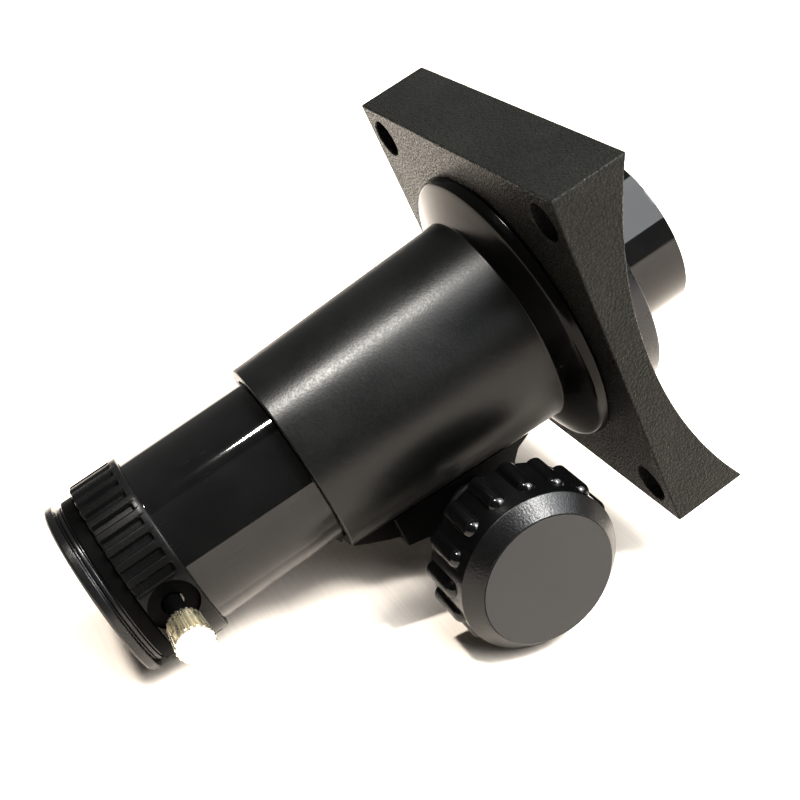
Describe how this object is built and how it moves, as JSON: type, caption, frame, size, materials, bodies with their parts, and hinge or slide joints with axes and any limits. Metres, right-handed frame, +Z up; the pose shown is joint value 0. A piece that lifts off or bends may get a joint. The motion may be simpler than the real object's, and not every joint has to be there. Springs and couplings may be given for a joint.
{
  "type": "rack-and-pinion eyepiece focuser",
  "caption": "Rack-and-pinion focuser for a reflecting telescope: square saddle plate, tapered housing, sliding drawtube, ribbed eyepiece collar with thumb screw, and fluted focus knobs.",
  "frame": {"origin": "centre of the bounding box at its bottom, on the surface the focuser lies on", "axes": "+X along the focus shaft; +Y level, from the eyepiece end towards the saddle plate; +Z up. The light path leans 20.2 degrees up from +Y, because the focuser lies on its two knobs and the rim of the eyepiece holder."},
  "size_m": [0.0916, 0.1396, 0.0971],
  "materials": {
    "textured_black_plastic": "fine-grained matte",
    "satin_black_plastic": "satin",
    "gloss_black_anodised": "gloss black anodised",
    "moulded_black_plastic": "semi-gloss moulded",
    "black_painted_casting": "semi-gloss black over die-cast zinc",
    "satin_grey_black": "satin",
    "nickel_plate": "polished nickel plate over brass",
    "bright_steel": "bright",
    "brass": "machined",
    "white_nylon": "matte",
    "black_nylon": "matte",
    "black_liner": "matte"
  },
  "bodies": {
    "housing": {"saddle_plate": "textured_black_plastic", "focuser_body": "satin_black_plastic", "rear_lock_ring": "moulded_black_plastic", "pinion_housing": "satin_black_plastic", "pinion_cover_plate": "satin_black_plastic", "cover_screw_left_front": "bright_steel", "cover_screw_left_rear": "bright_steel", "cover_screw_right_front": "bright_steel", "cover_screw_right_rear": "bright_steel", "tension_screw": "bright_steel", "tension_pad": "white_nylon", "shaft_bushing_left": "black_nylon", "shaft_bushing_right": "black_nylon", "front_guide_liner": "black_liner", "rear_guide_liner": "black_liner"},
    "draw": {"drawtube": "gloss_black_anodised", "focus_rack": "moulded_black_plastic", "rack_screw_front": "bright_steel", "rack_screw_rear": "bright_steel", "ribbed_collar": "black_painted_casting", "eyepiece_holder": "black_painted_casting"},
    "focus": {"focus_knob_left": "moulded_black_plastic", "focus_knob_right": "moulded_black_plastic", "knob_cap_left": "satin_grey_black", "knob_cap_right": "satin_grey_black", "knob_screw_left": "bright_steel", "knob_screw_right": "bright_steel", "focus_shaft": "bright_steel", "pinion_gear": "brass"},
    "thumb": {"thumb_screw": "nickel_plate"}
  },
  "joints": [
    {"name": "draw_slide", "type": "slide", "parent": "housing", "child": "draw", "axis": [0, 0.9384, 0.3457], "range_m": [-0.016, 0.024]},
    {"name": "focus_turn", "type": "hinge", "parent": "housing", "child": "focus", "pos_m": [0, 0.01374, 0.0186], "axis": [1, 0, 0], "range_deg": [-287, 192]},
    {"name": "thumb_turn", "type": "hinge", "parent": "draw", "child": "thumb", "pos_m": [0.02795, -0.05289, 0.02359], "axis": [0.9983, -0.0199, 0.054], "range_deg": [0, 720]}
  ],
  "couplings": [
    {"joint": "focus_turn", "follows": "draw_slide", "rad_per_m": -208.33}
  ]
}
